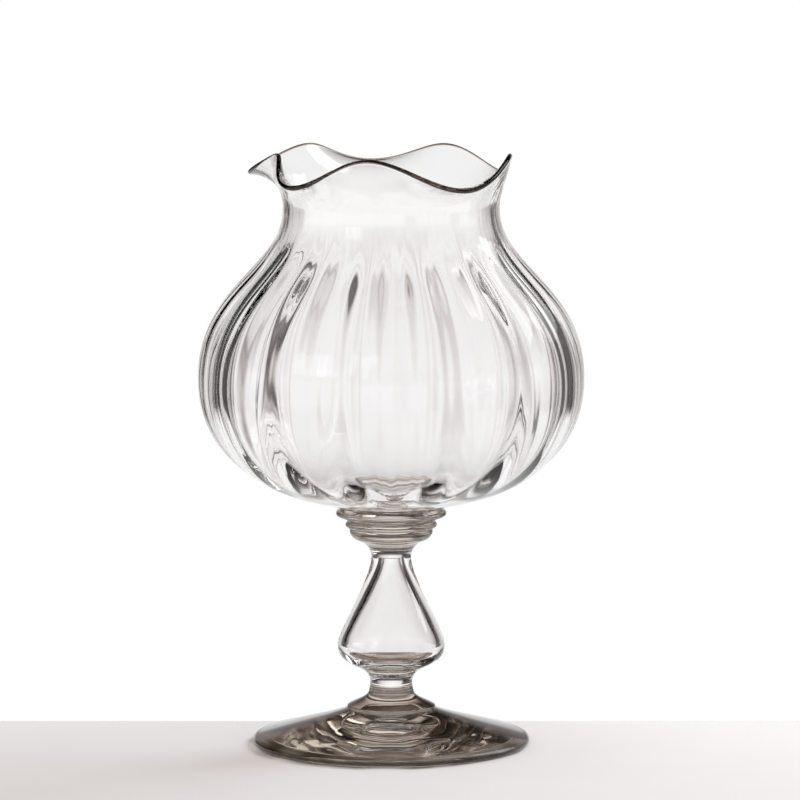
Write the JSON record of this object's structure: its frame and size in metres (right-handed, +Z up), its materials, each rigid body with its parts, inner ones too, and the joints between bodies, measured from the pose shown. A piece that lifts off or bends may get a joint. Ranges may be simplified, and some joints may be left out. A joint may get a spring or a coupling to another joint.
{
  "type": "globe vase",
  "caption": "Footed globe vase in clear blown glass: a ribbed round bowl with a ruffled, flared lip on stacked discs, a hollow baluster stem and a low conical foot.",
  "frame": {"origin": "centre of the foot's resting ring, on the surface that the vase stands on", "axes": "+Z up the vase's axis to the lip, -Y towards the front of the picture, +X to the picture's right"},
  "size_m": [0.1668, 0.1668, 0.2594],
  "materials": {
    "bowl_glass": "blown clear glass, fire-polished",
    "stem_glass": "tooled clear glass, fire-polished",
    "disc_glass": "tooled clear glass, fire-polished",
    "foot_glass": "spread clear glass, ground flat on its resting ring"
  },
  "bodies": {
    "root": {"foot": "foot_glass", "foot_merese": "disc_glass", "baluster": "stem_glass", "stem_button": "stem_glass", "lower_merese": "disc_glass", "middle_merese": "disc_glass", "upper_merese": "disc_glass", "bowl": "bowl_glass"}
  },
  "joints": []
}
